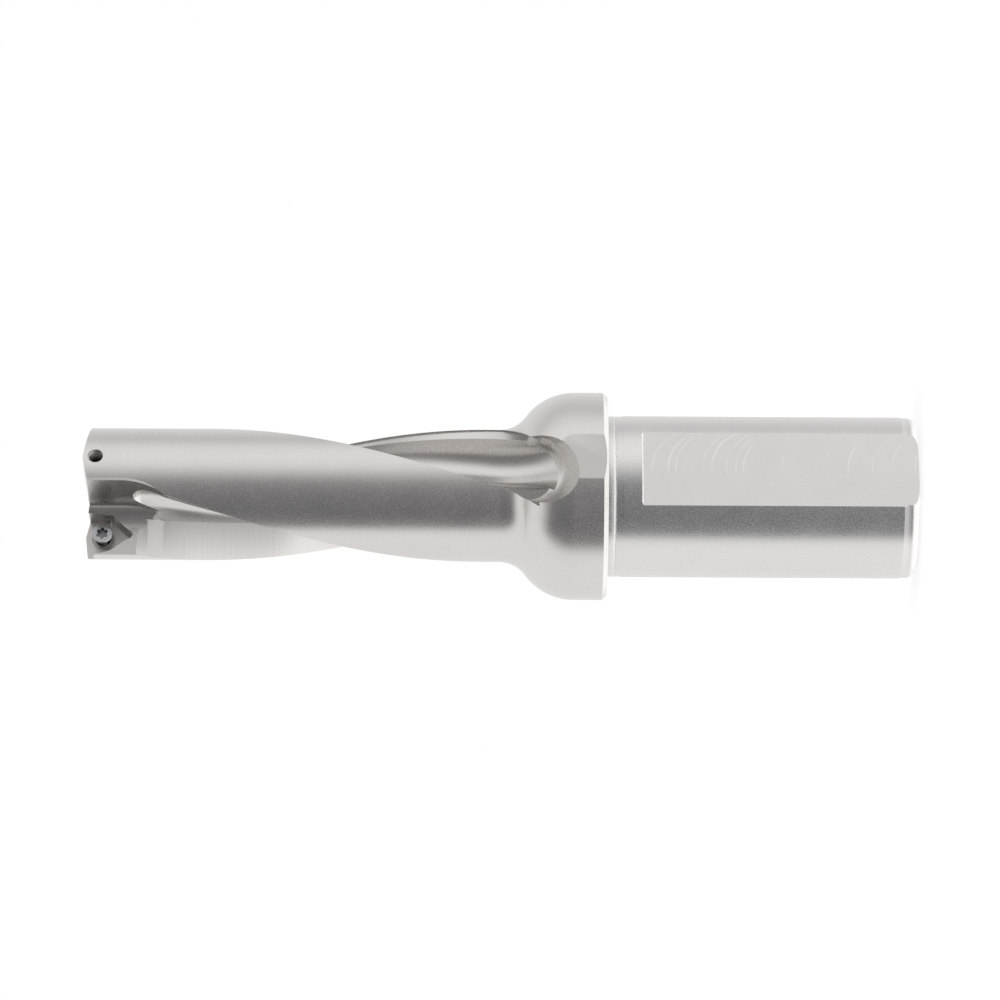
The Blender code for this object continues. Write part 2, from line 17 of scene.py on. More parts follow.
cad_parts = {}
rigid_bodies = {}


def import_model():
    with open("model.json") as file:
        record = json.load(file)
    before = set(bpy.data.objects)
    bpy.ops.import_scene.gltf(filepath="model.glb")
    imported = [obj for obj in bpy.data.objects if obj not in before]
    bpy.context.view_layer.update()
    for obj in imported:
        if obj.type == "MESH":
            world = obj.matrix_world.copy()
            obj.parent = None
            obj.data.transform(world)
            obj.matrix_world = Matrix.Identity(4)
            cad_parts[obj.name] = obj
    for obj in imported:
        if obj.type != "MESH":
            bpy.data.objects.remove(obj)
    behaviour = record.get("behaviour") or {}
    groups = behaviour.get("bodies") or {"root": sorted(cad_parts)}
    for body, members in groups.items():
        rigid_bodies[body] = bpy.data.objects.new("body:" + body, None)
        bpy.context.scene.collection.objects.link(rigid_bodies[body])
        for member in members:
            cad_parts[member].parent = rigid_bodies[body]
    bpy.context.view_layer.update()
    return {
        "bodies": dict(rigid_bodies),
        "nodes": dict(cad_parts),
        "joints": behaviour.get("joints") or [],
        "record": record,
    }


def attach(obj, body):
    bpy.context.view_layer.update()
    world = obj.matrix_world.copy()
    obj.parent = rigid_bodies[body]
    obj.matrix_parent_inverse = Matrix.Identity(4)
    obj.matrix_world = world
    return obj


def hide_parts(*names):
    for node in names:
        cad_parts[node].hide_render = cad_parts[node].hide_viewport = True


# Shank
SHANK_DIAMETER = 0.032
SHANK_LENGTH = 0.0608
SHANK_END_ROUND = 0.0015
SIDE_FLAT_DEPTH = 0.002
SIDE_FLAT_LENGTH = 0.0542
FLAT_CORNER = 0.0003
NECK_LENGTH = 0.0025
NECK_DEPTH = 0.0001
NECK_GROOVE_WIDTH = 0.0006
NECK_GROOVE_DEPTH = 0.0001
NECK_LINE_SETBACK = 0.0011
END_STEP_HEIGHT = 0.0024
END_STEP_DEPTH = 0.00015
END_STEP_RISE = 0.0006

# Flange and the turned blend from the flange to the fluted body
FLANGE_DIAMETER = 0.0411
FLANGE_THICKNESS = 0.0065
FLANGE_CHAMFER = 0.0009
FLANGE_FLAT_DEPTH = 0.00055
DOME_RADIUS = 0.012
BLEND_RADIUS = 0.0065

# Fluted body
BODY_DIAMETER = 0.026
BODY_BACK_TAPER = 0.0001
OVERALL_LENGTH = 0.165

# Helical flutes: the section is measured from the drill's axis, depth outward and width across
FLUTE_LEAD = 0.2508
FLUTE_TURN_AT_BLEND = -64.8
FLUTE_FLOOR = 0.0036
HEEL_FILLET_RADIUS = 0.0049
HEEL_WALL_WIDTH = 0.00639
HEEL_WALL_TOP = 0.00937
HEEL_WALL_LEAN = 9.0
HEEL_CHAMFER_WIDTH = 0.0017
HEEL_CHAMFER_RISE = 0.0008
RAKE_FILLET_RADIUS = 0.0039
RAKE_FILLET_TURN = 49.0
RAKE_WALL_WIDTH = 0.0085
RAKE_WALL_TOP = 0.00985
HEEL_CHAMFER_FADE = (0.0740, 0.0815)
HEEL_OUTER_LEAN = 40.0
FLUTE_RUN_OUT = 0.0079
RUN_OUT_OVERLAP = 0.0005
RUN_OUT_FOOT = 0.0685
FLUTE_FRONT = 0.0148
HEEL_FRONT = 0.0102
RAKE_FRONT = 0.0114
HEEL_FRONT_ROUND = 0.87
FLOOR_SWEEP = (0.0205, 0.045)
HEEL_SWEEP = (0.0124, 0.0029)
RUN_OUT_SWEEP = (0.0840, 0.030)
FACE_DEEPENING = 0.0003
FACE_DEEPENING_LENGTH = 0.012

# Round pocket that the flute's cutter leaves where it runs out: (depth, offset, height, radius) from outside
# inward, in a frame turned so that depth runs out along the cutter
RUN_OUT_TURN = -110.0
RUN_OUT_CIRCLES = (
    (0.0240, 0.00425, 0.0724, 0.00674),
    (0.0100, 0.00470, 0.0751, 0.00645),
    (0.0082, 0.00440, 0.0757, 0.00595),
    (0.0070, 0.00400, 0.0764, 0.00510),
)

# Round wall at which the flute ends, in the same frame: offset, height, radius
ROUND_END = (0.0037, 0.0768, 0.0063)

# Inserts that the pockets are made for: trigon, with three corners of 80 degrees
INSERT_CIRCLE = 0.00794
INSERT_THICKNESS = 0.00318
INSERT_CORNER_ANGLE = 80.0
INSERT_CLEARANCE_ANGLE = 7.0
POCKET_CLEARANCE = 0.00005
POCKET_FRONT_SPREAD = 0.0002
CORNER_RELIEF_RADIUS = 0.00095
SIDE_RELIEF_RADIUS = 0.0006
RELIEF_INSET = 0.55

# Insert screws and their tapped holes, which run right through each land
THREAD_DIAMETER = 0.003
THREAD_CLEARANCE = 0.0003
THREAD_PITCH = 0.0005
SCREW_THREAD_HEIGHT = 0.00022
SCREW_THREAD_GAP = 0.0004
HOLE_THREAD_HEIGHT = 0.00018
HOLE_THREAD_MOUTH = 0.0003
HOLE_THREAD_SETBACK = 0.0006
THREAD_ROOT = 0.00005
THREAD_ROOT_SHARE = 0.46
THREAD_CREST_SHARE = 0.2
SCREW_HEAD_DIAMETER = 0.004
SCREW_HEAD_RIM = 0.0004
SCREW_HEAD_CONE = 0.0012
SCREW_LENGTH = 0.0085
SCREW_HEAD_SINK = 0.0002
SCREW_HEAD_BEVEL = 0.0001
SCREW_TIP_BEVEL = 0.00025
SCREW_NECK_STEP = 0.0002
RECESS_OUTER_DIAMETER = 0.0025
RECESS_INNER_DIAMETER = 0.0018
RECESS_DEPTH = 0.0011
HOLE_RIM_DIAMETER = 0.0044
HOLE_RIM_DEPTH = 0.00025

# Coolant channels
INLET_DIAMETER = 0.011
INLET_DEPTH = 0.042
INLET_CHAMFER = 0.001
CHANNEL_DIAMETER = 0.004
CHANNEL_TOP = 0.122
BRANCH_DIAMETER = 0.0028
PERIPHERAL_BRANCH_MOUTH = (0.0036, -0.007)
CENTRAL_BRANCH_MOUTH = (0.0078, -0.0055)
DRILL_POINT_ANGLE = 118.0

# Gullets beside the pockets, in each side's frame
GULLET_FILLET_RADIUS = 0.005
GULLET_SHELF_HEIGHT = 0.002
GULLET_SHELF_WIDTH = 0.0003
CENTRAL_FILLET_RADIUS = 0.0025
GULLET_STRAIGHT_LENGTH = 0.002
GULLET_SWEEP_RADIUS = 0.048
GULLET_LENGTH = 0.0230
WALL_STRAIGHT_LENGTH = 0.007
WALL_SWEEP_RADIUS = 0.0235
WALL_STEP = 0.0001
WALL_TOP_STRAIGHT_LENGTH = 0.0065
WALL_TOP_SWEEP_RADIUS = 0.015
WALL_TOP_LEAD = 0.0013
EDGE_CHAMFER = 0.00025
EDGE_CHAMFER_LEAN = 0.7

# Front faces: each slopes both ways from a ridge in front of its insert
FRONT_RELIEF = 2.5
FRONT_OVERLAP = 0.0002

# Marks and blasted grain of the finishes
GRAIN_DEPTH = 0.000012
SWIRL_RADIUS = 0.008

# Smoothness
TURNED_SEGMENTS = 288
HELIX_STEPS = 110
FRONT_STEPS = 30
ROUND_END_STEPS = 40
RUN_OUT_SEGMENTS = 120
GULLET_STEPS = 40
HOLE_SEGMENTS = 72
SCREW_SEGMENTS = 96
THREAD_SEGMENTS = 36
RECESS_SEGMENTS = 72
END_ROUND_STEPS = 10
DOME_STEPS = 30
BLEND_STEPS = 20
HEEL_FILLET_STEPS = 14
GULLET_FILLET_STEPS = 20
SMOOTH_ANGLE = 25.0

# How far a cutter reaches past what it cuts, and the distance within which two points are one
CLEAR = 0.004
MERGE_DISTANCE = 1e-7

# Studio: brightness by the angle round the drill from the camera's side, then by the height of the way it
# comes from, above toward the cutting end and below toward the shank's end
BRIGHTEST = 1.2
STUDIO_ROUND = (
    (-180.0, 0.95), (-110.0, 1.02), (-66.0, 1.05), (-54.0, 0.25), (-30.0, 0.19), (0.0, 0.24),
    (22.0, 0.33), (50.0, 0.98), (66.0, 1.08), (90.0, 1.02), (112.0, 0.72), (140.0, 0.90), (180.0, 0.95),
)
STUDIO_ABOVE = ((0.0, 0.0), (0.72, 0.0), (0.92, 1.0), (1.0, 1.0))
STUDIO_BELOW = ((0.0, 0.0), (0.12, 0.0), (0.25, 0.23), (0.35, 0.46), (0.46, 0.82), (0.54, 1.0))
SHANK_END_LIGHT = 1.5

# Camera of the photograph: it looks square at the drill's side, with the cutting end to the left
TOWARD_CAMERA = Vector((-0.3907, -0.9205, 0.0))
PICTURE_UP = Vector((0.9205, -0.3907, 0.0))
CAMERA_DISTANCE = 0.864
CAMERA_ROLL = 0.31
VIEW_HEIGHT = 0.08193
VIEW_DROP = 0.0008
FRAME_WIDTH = 0.1985
SENSOR_WIDTH = 36.0


class Side:
    """One cutting side: where its insert sits and how its chip gullet is cut."""

    def __init__(self, name, turn, insert_offset, insert_setback, insert_tilt,
                 front_setback, wall_offset, wall_lean):
        self.name = name
        self.frame = Matrix.Rotation(math.radians(turn), 4, "Z")
        self.insert_offset = insert_offset
        self.insert_height = OVERALL_LENGTH - insert_setback
        self.insert_tilt = insert_tilt
        self.front_setback = front_setback
        self.wall_offset = wall_offset
        self.wall_lean = wall_lean


PERIPHERAL = Side("peripheral", 180.0, 0.0084, 0.0044, 3.0, 0.0006, 0.0031, 4.3)
CENTRAL = Side("central", 0.0, 0.0027, 0.0037, 2.0, 0.0011, -0.0013, 3.0)
SIDES = (PERIPHERAL, CENTRAL)


# Mesh tools


def deselect_all():
    for obj in bpy.context.selected_objects:
        obj.select_set(False)


def make_active(obj):
    deselect_all()
    obj.select_set(True)
    bpy.context.view_layer.objects.active = obj


def add_object(name, mesh_data, finish=None):
    """Turns a bmesh into an object with its normals out."""
    bmesh.ops.recalc_face_normals(mesh_data, faces=mesh_data.faces)
    mesh = bpy.data.meshes.new(name)
    mesh_data.to_mesh(mesh)
    mesh_data.free()
    obj = bpy.data.objects.new(name, mesh)
    bpy.context.scene.collection.objects.link(obj)
    if finish:
        mesh.materials.append(finish)
    return obj


def arc(centre, radius, start, end, steps):
    """Points on a circle from one angle to another, in degrees, both ends included."""
    angles = [math.radians(start + (end - start) * k / steps) for k in range(steps + 1)]
    return [(centre[0] + radius * math.cos(a), centre[1] + radius * math.sin(a)) for a in angles]


def turned_object(name, profile, segments, finish=None):
    """Spins a profile of (radius, height) points once round Z, as on a lathe."""
    deselect_all()
    bpy.ops.mesh.primitive_circle_add(vertices=len(profile), radius=SHANK_DIAMETER)
    obj = bpy.context.active_object
    obj.name = obj.data.name = name
    bpy.ops.object.mode_set(mode="EDIT")
    mesh = bmesh.from_edit_mesh(obj.data)
    mesh.verts.ensure_lookup_table()
    for vert, (radius, height) in zip(mesh.verts, profile):
        vert.co = (radius, 0.0, height)
    first, last = mesh.verts[0], mesh.verts[len(profile) - 1]
    mesh.edges.remove(mesh.edges.get((first, last)))
    bmesh.update_edit_mesh(obj.data)
    bpy.ops.mesh.select_all(action="SELECT")
    bpy.ops.mesh.spin(steps=segments, angle=2.0 * math.pi, center=(0.0, 0.0, 0.0), axis=(0.0, 0.0, 1.0))
    bpy.ops.mesh.select_all(action="SELECT")
    bpy.ops.mesh.remove_doubles(threshold=MERGE_DISTANCE)
    bpy.ops.mesh.normals_make_consistent(inside=False)
    bpy.ops.object.mode_set(mode="OBJECT")
    if finish:
        obj.data.materials.append(finish)
    return obj


def stacked_mesh(rings):
    """Skins a stack of closed outlines, all with the same number of points, and caps both ends."""
    mesh = bmesh.new()
    rows = [[mesh.verts.new(point) for point in ring] for ring in rings]
    for low, high in zip(rows, rows[1:]):
        for k in range(len(low)):
            after = (k + 1) % len(low)
            mesh.faces.new((low[k], low[after], high[after], high[k]))
    mesh.faces.new(rows[0][::-1])
    mesh.faces.new(rows[-1])
    return mesh


def drilled(name, start, end, diameter, finish, point_angle=None):
    """A round cutter from one point to another, with a drill point past its end if it has an angle."""
    way = Vector(end) - Vector(start)
    radius = diameter / 2.0
    tip = radius / math.tan(math.radians(point_angle / 2.0)) if point_angle else 0.0
    profile = [(0.0, 0.0), (radius, 0.0), (radius, way.length), (0.0, way.length + tip)]
    obj = turned_object(name, profile, HOLE_SEGMENTS, finish)
    turn = way.to_track_quat("Z", "Y").to_matrix().to_4x4()
    obj.data.transform(Matrix.Translation(start) @ turn)
    return obj


def cut(body, cutters):
    """Takes all the cutters out of the body and deletes them. Each cut face keeps its cutter's finish."""
    tools = bpy.data.collections.new(body.name + "_cutters")
    bpy.context.scene.collection.children.link(tools)
    for cutter in cutters:
        bpy.context.scene.collection.objects.unlink(cutter)
        tools.objects.link(cutter)
    step = body.modifiers.new("machining", "BOOLEAN")
    step.operation = "DIFFERENCE"
    step.solver = "EXACT"
    step.operand_type = "COLLECTION"
    step.collection = tools
    step.material_mode = "TRANSFER"
    make_active(body)
    bpy.ops.object.modifier_apply(modifier=step.name)
    for cutter in cutters:
        bpy.data.objects.remove(cutter, do_unlink=True)
    bpy.data.collections.remove(tools)


# The turned blank


def blend_centres():
    """Centres of the dome's arc and of the hollow arc that carries it into the body."""
    band_top = SHANK_LENGTH + FLANGE_THICKNESS
    dome = FLANGE_DIAMETER / 2.0 - DOME_RADIUS
    blend = BODY_DIAMETER / 2.0 + BODY_BACK_TAPER + BLEND_RADIUS
    rise = math.sqrt((DOME_RADIUS + BLEND_RADIUS) ** 2 - (blend - dome) ** 2)
    return (dome, band_top), (blend, band_top + rise)


def blend_end():
    """Height at which the blend has run into the straight body."""
    return blend_centres()[1][1]


def blend_meet():
    """Angle about the dome's centre at which the two arcs meet, in degrees."""
    dome_centre, blend_centre = blend_centres()
    return math.degrees(math.atan2(blend_centre[1] - dome_centre[1], blend_centre[0] - dome_centre[0]))


def body_profile():
    """The turned outline of the body, from the middle of the shank end to the middle of the front."""
    shank = SHANK_DIAMETER / 2.0
    neck = shank - NECK_DEPTH
    flange = FLANGE_DIAMETER / 2.0
    body = BODY_DIAMETER / 2.0
    neck_foot = SHANK_LENGTH - NECK_LENGTH
    dome_centre, blend_centre = blend_centres()
    meet = blend_meet()
    points = [(0.0, 0.0)]
    end = shank - END_STEP_DEPTH
    points += arc((end - SHANK_END_ROUND, SHANK_END_ROUND), SHANK_END_ROUND, -90.0, 0.0, END_ROUND_STEPS)
    points += [(end, END_STEP_HEIGHT), (shank, END_STEP_HEIGHT + END_STEP_RISE)]
    for radius, line in ((shank, neck_foot), (neck, SHANK_LENGTH - NECK_LINE_SETBACK)):
        points.append((radius, line - NECK_GROOVE_WIDTH))
        points.append((radius - NECK_GROOVE_DEPTH, line - NECK_GROOVE_WIDTH / 2.0))
        points.append((neck, line))
    points.append((neck, SHANK_LENGTH))
    points += [(flange - FLANGE_CHAMFER, SHANK_LENGTH), (flange, SHANK_LENGTH + FLANGE_CHAMFER)]
    points += arc(dome_centre, DOME_RADIUS, 0.0, meet, DOME_STEPS)
    points += arc(blend_centre, BLEND_RADIUS, meet + 180.0, 180.0, BLEND_STEPS)[1:]
    points += [(body, OVERALL_LENGTH + CLEAR), (0.0, OVERALL_LENGTH + CLEAR)]
    return points


def turned_normal(point):
    """The true normal of the turned blank at a point on it, or None beside its round faces."""
    radius = math.hypot(point.x, point.y)
    height = point.z
    dome_centre, blend_centre = blend_centres()
    meet_height = dome_centre[1] + DOME_RADIUS * math.sin(math.radians(blend_meet()))
    if height > blend_centre[1]:
        out, up = 1.0, 0.0
    elif height > meet_height:
        out, up = blend_centre[0] - radius, blend_centre[1] - height
    elif height > dome_centre[1]:
        out, up = radius - dome_centre[0], height - dome_centre[1]
    else:
        out, up = 1.0, 0.0
    return Vector((out * point.x / radius, out * point.y / radius, up)).normalized()


# The flutes


def flute_turn(height):
    """Angle of the central side's flute about Z, in radians, at a height."""
    return math.radians(FLUTE_TURN_AT_BLEND) + 2.0 * math.pi * (height - blend_end()) / FLUTE_LEAD


def heel_side(height):
    """The smooth side of the flute's section as (half width, depth), from the floor outward."""
    lean = math.radians(HEEL_WALL_LEAN)
    wall_foot = HEEL_WALL_WIDTH - (HEEL_WALL_TOP - FLUTE_FLOOR) * math.tan(lean)
    middle = wall_foot - HEEL_FILLET_RADIUS * math.tan((math.pi / 2.0 - lean) / 2.0)
    centre = (middle, FLUTE_FLOOR + HEEL_FILLET_RADIUS)
    points = arc(centre, HEEL_FILLET_RADIUS, -90.0, -HEEL_WALL_LEAN, HEEL_FILLET_STEPS)
    points.append((HEEL_WALL_WIDTH, HEEL_WALL_TOP))
    low, high = HEEL_CHAMFER_FADE
    chamfer = HEEL_CHAMFER_WIDTH * min(max((height - low) / (high - low), 0.0), 1.0)
    points.append((HEEL_WALL_WIDTH + chamfer, HEEL_WALL_TOP + HEEL_CHAMFER_RISE))
    rise = FLANGE_DIAMETER / 2.0 + CLEAR - points[-1][1]
    lean = math.tan(math.radians(HEEL_OUTER_LEAN))
    points.append((HEEL_WALL_WIDTH + chamfer - rise * lean, FLANGE_DIAMETER / 2.0 + CLEAR))
    return points


def rake_side(count):
    """The rake side of the section: a fillet from the floor, then a straight face out to the edge."""
    centre = (0.0, FLUTE_FLOOR + RAKE_FILLET_RADIUS)
    points = arc(centre, RAKE_FILLET_RADIUS, -90.0, RAKE_FILLET_TURN - 90.0, count - 3)
    foot, top = points[-1], (RAKE_WALL_WIDTH, RAKE_WALL_TOP)
    rise = FLANGE_DIAMETER / 2.0 + CLEAR - RAKE_WALL_TOP
    reach = rise * (top[0] - foot[0]) / (top[1] - foot[1])
    return points + [top, (RAKE_WALL_WIDTH + reach, RAKE_WALL_TOP + rise)]


def flute_point(width, depth, height):
    """A point of the flute's section in the drill's frame. Width is positive on the heel side."""
    turn = flute_turn(height)
    x = depth * math.cos(turn) - width * math.sin(turn)
    y = depth * math.sin(turn) + width * math.cos(turn)
    return Vector((x, y, height))


def arc_rise(along, radius):
    """How far an arc has left its tangent after a way along it. It hasn't before the arc starts."""
    return radius - math.sqrt(radius * radius - max(along, 0.0) ** 2)


def lifted(points, lift):
    """A side of the section with its floor raised and its wall's top kept."""
    wall = HEEL_WALL_TOP - FLUTE_FLOOR
    return [(w, d + lift * max((HEEL_WALL_TOP - d) / wall, 0.0)) for w, d in points]


def front_lift(height):
    """How far the floor has come up near the front end: gently first, then round the cutter's end."""
    lift = 0.0
    for setback, radius in (FLOOR_SWEEP, HEEL_SWEEP):
        lift += arc_rise(height - OVERALL_LENGTH + setback, radius)
    return lift


def front_narrowed(points, height, share):
    """The heel side near the front end: it is drawn in there, and its floor comes up."""
    narrow = math.sqrt(1.0 - (HEEL_FRONT_ROUND * share) ** 2)
    return [(w * narrow, d) for w, d in lifted(points, front_lift(height))]


def front_bent(points, height):
    """The rake side near the front end: its fillet comes up there, and its face runs deeper."""
    start = OVERALL_LENGTH - RAKE_FRONT - FACE_DEEPENING_LENGTH
    deeper = FACE_DEEPENING * (max(height - start, 0.0) / FACE_DEEPENING_LENGTH) ** 2
    fillet = len(points) - 3
    lift = front_lift(height)
    shares = [min(2.0 * (fillet - k) / fillet, 1.0) for k in range(fillet)]
    bent = [(w, d + lift * share) for (w, d), share in zip(points, shares)]
    return bent + [(w, d - deeper) for w, d in points[fillet:]]


def flute_sides(height):
    """Both sides of the section at a height, with the floor raised toward the run-out."""
    start, radius = RUN_OUT_SWEEP
    lift = arc_rise(start - height, radius)
    heel = lifted(heel_side(height), lift)
    return heel, lifted(rake_side(len(heel)), lift)


def section_ring(heel, rake, heel_height, rake_height):
    """The closed section as points in the drill's frame. Its two sides may stand at two heights."""
    ring = [flute_point(width, depth, heel_height) for width, depth in heel]
    return ring + [flute_point(-width, depth, rake_height) for width, depth in rake[::-1]]


def flute_cutter(side, finish):
    """A helical flute from its run-out at the blend to its round end behind the insert's pocket."""
    low = blend_end() - FLUTE_RUN_OUT
    high = OVERALL_LENGTH - FLUTE_FRONT
    steps = [(low + (high - low) * k / HELIX_STEPS, 0.0) for k in range(HELIX_STEPS)]
    steps += [(high, k / FRONT_STEPS) for k in range(FRONT_STEPS + 1)]
    rings = []
    for height, share in steps:
        heel_height = height + (FLUTE_FRONT - HEEL_FRONT) * share
        rake_height = height + (FLUTE_FRONT - RAKE_FRONT) * share
        heel, rake = flute_sides(height)
        heel = front_narrowed(heel, heel_height, share)
        rake = front_bent(rake, rake_height)
        rings.append([side.frame @ point for point in section_ring(heel, rake, heel_height, rake_height)])
    return add_object(side.name + "_flute_cutter", stacked_mesh(rings), finish)


def round_end_cutter(side, finish):
    """The last of the flute, which ends at the round wall that its cutter leaves."""
    high = blend_end() - FLUTE_RUN_OUT + RUN_OUT_OVERLAP
    rings = []
    for k in range(ROUND_END_STEPS + 1):
        height = RUN_OUT_FOOT + (high - RUN_OUT_FOOT) * k / ROUND_END_STEPS
        heel, rake = flute_sides(height)
        rings.append([side.frame @ point for point in section_ring(heel, rake, height, height)])
    last = add_object(side.name + "_round_end_cutter", stacked_mesh(rings), finish)
    frame = side.frame @ Matrix.Rotation(math.radians(RUN_OUT_TURN), 4, "Z")
    offset, height, radius = ROUND_END
    start, end = (frame @ Vector((depth, offset, height)) for depth in (0.0, RUN_OUT_CIRCLES[0][0]))
    wall = drilled(side.name + "_round_end_wall", start, end, 2.0 * radius, finish)
    step = last.modifiers.new("round_end", "BOOLEAN")
    step.operation = "INTERSECT"
    step.solver = "EXACT"
    step.object = wall
    make_active(last)
    bpy.ops.object.modifier_apply(modifier=step.name)
    bpy.data.objects.remove(wall, do_unlink=True)
    return last


def run_out_cutter(side, finish):
    """The round pocket at the flute's end, cut by the end and the corner of the flute's cutter."""
    frame = side.frame @ Matrix.Rotation(math.radians(RUN_OUT_TURN), 4, "Z")
    rings = []
    for depth, offset, height, radius in RUN_OUT_CIRCLES:
        ring = []
        for k in range(RUN_OUT_SEGMENTS):
            turn = 2.0 * math.pi * k / RUN_OUT_SEGMENTS
            aside, along = radius * math.cos(turn), radius * math.sin(turn)
            ring.append(frame @ Vector((depth, offset + aside, height + along)))
        rings.append(ring)
    return add_object(side.name + "_run_out_cutter", stacked_mesh(rings), finish)


# Gullets, pockets and holes


def gullet_outline(side, swing, top_swing):
    """Plan of the gullet in the side's frame, from the flat to the wall, whose foot and top have swung."""
    body = BODY_DIAMETER / 2.0
    reach = body + CLEAR
    lean = math.tan(math.radians(side.wall_lean))
    if side is PERIPHERAL:
        drop = GULLET_FILLET_RADIUS - GULLET_SHELF_HEIGHT
        middle = side.wall_offset + GULLET_SHELF_WIDTH + math.sqrt(GULLET_FILLET_RADIUS**2 - drop**2)
        shelf = side.wall_offset + GULLET_SHELF_WIDTH + swing
        stop = 180.0 + math.degrees(math.acos((middle - shelf) / GULLET_FILLET_RADIUS))
        fillet = arc((middle, GULLET_FILLET_RADIUS), GULLET_FILLET_RADIUS, 270.0, stop, GULLET_FILLET_STEPS)
        foot = (side.wall_offset + swing, fillet[-1][1])
    else:
        middle = side.wall_offset + CENTRAL_FILLET_RADIUS + swing
        centre = (middle, CENTRAL_FILLET_RADIUS)
        fillet = arc(centre, CENTRAL_FILLET_RADIUS, 270.0, 180.0, GULLET_FILLET_STEPS)
        foot = (side.wall_offset + swing - WALL_STEP, CENTRAL_FILLET_RADIUS + WALL_STEP)
    edge = math.sqrt((body - EDGE_CHAMFER) ** 2 - side.wall_offset**2)
    wall_edge = (foot[0] - swing + top_swing - lean * (edge - foot[1]), edge)
    outer = (wall_edge[0] - (reach - edge) * EDGE_CHAMFER_LEAN, reach)
    return [(reach, 0.0)] + fillet + [foot, wall_edge, outer, (reach, reach)]


def gullet_cutter(side, finish):
    """The chip gullet beside the pocket, whose wall swings outward into the helical flute."""
    top = OVERALL_LENGTH + 2.0 * CLEAR
    rings = []
    for k in range(GULLET_STEPS + 1):
        drop = (GULLET_LENGTH - GULLET_STRAIGHT_LENGTH) * (1.0 - k / GULLET_STEPS)
        height = OVERALL_LENGTH - GULLET_STRAIGHT_LENGTH - drop
        if side is PERIPHERAL:
            swing = arc_rise(drop - WALL_STRAIGHT_LENGTH, WALL_SWEEP_RADIUS)
            top_swing = arc_rise(drop - WALL_TOP_STRAIGHT_LENGTH, WALL_TOP_SWEEP_RADIUS)
            top_swing = min(top_swing, swing + WALL_TOP_LEAD)
        else:
            swing = arc_rise(drop, GULLET_SWEEP_RADIUS)
            top_swing = swing
        rings.append([(x, y, height) for x, y in gullet_outline(side, swing, top_swing)])
    rings.append([(x, y, top) for x, y in gullet_outline(side, 0.0, 0.0)])
    mesh = stacked_mesh(rings)
    bmesh.ops.transform(mesh, matrix=side.frame, verts=mesh.verts)
    return add_object(side.name + "_gullet_cutter", mesh, finish)


def trigon(circle):
    """Corners of a trigon as (across, along), the first one at the back."""
    half = math.radians(INSERT_CORNER_ANGLE / 2.0)
    corner = circle / 2.0 / math.sin(half)
    middle = circle / 2.0 / math.sin(math.pi / 3.0 + half)
    points = []
    for k in range(6):
        turn = math.radians(-90.0 + 60.0 * k)
        radius = corner if k % 2 == 0 else middle
        points.append((radius * math.cos(turn), radius * math.sin(turn)))
    return points


def seat_frame(side):
    """Frame of a pocket: x inward, y to the front along the insert, z out of the floor toward the chips."""
    tilt = Matrix.Rotation(-math.radians(side.insert_tilt), 4, "Y")
    place = Matrix.Translation((side.insert_offset, 0.0, side.insert_height))
    stand = Matrix(((-1, 0, 0, 0), (0, 0, 1, 0), (0, 1, 0, 0), (0, 0, 0, 1)))
    return side.frame @ place @ tilt @ stand


def pocket_cutter(side, finish):
    """The insert's own shape, open to the front, with walls that lean as the insert's sides do."""
    lean = math.tan(math.radians(INSERT_CLEARANCE_ANGLE))
    above = GULLET_SHELF_HEIGHT + CENTRAL_FILLET_RADIUS
    circle = INSERT_CIRCLE + 2.0 * POCKET_CLEARANCE
    rings = []
    for level in (-INSERT_THICKNESS, 0.0, above):
        outline = trigon(circle + 2.0 * lean * min(level, 0.0))
        outline[2] = (outline[1][0] + POCKET_FRONT_SPREAD, outline[2][1])
        rings.append([(x, y, level) for x, y in outline])
    mesh = stacked_mesh(rings)
    bmesh.ops.transform(mesh, matrix=seat_frame(side), verts=mesh.verts)
    return add_object(side.name + "_pocket_cutter", mesh, finish)


def relief_cutters(side, finish):
    """Round reliefs at the pocket's back corner and at its inner side corner."""
    lean = math.tan(math.radians(INSERT_CLEARANCE_ANGLE))
    above = GULLET_SHELF_HEIGHT + CENTRAL_FILLET_RADIUS
    points = trigon(INSERT_CIRCLE - 2.0 * lean * INSERT_THICKNESS)
    places = ((points[0], CORNER_RELIEF_RADIUS, "corner"), (points[1], SIDE_RELIEF_RADIUS, "side"))
    made = []
    for (x, y), radius, word in places:
        distance = math.hypot(x, y)
        inward = (distance - radius * RELIEF_INSET) / distance
        start = seat_frame(side) @ Vector((x * inward, y * inward, -INSERT_THICKNESS))
        end = seat_frame(side) @ Vector((x * inward, y * inward, above))
        made.append(drilled(f"{side.name}_{word}_relief_cutter", start, end, 2.0 * radius, finish))
    return made


def screw_hole_cutters(side, finish):
    """The tapped hole through the land and the shallow round step about its mouth."""
    floor = -INSERT_THICKNESS
    mouth = seat_frame(side) @ Vector((0.0, 0.0, floor + HOLE_RIM_DEPTH))
    step = seat_frame(side) @ Vector((0.0, 0.0, floor - HOLE_RIM_DEPTH))
    far = seat_frame(side) @ Vector((0.0, 0.0, -BODY_DIAMETER))
    rim = drilled(side.name + "_hole_rim_cutter", mouth, step, HOLE_RIM_DIAMETER, finish)
    hole = drilled(side.name + "_screw_hole_cutter", mouth, far, THREAD_DIAMETER, finish)
    return [rim, hole]


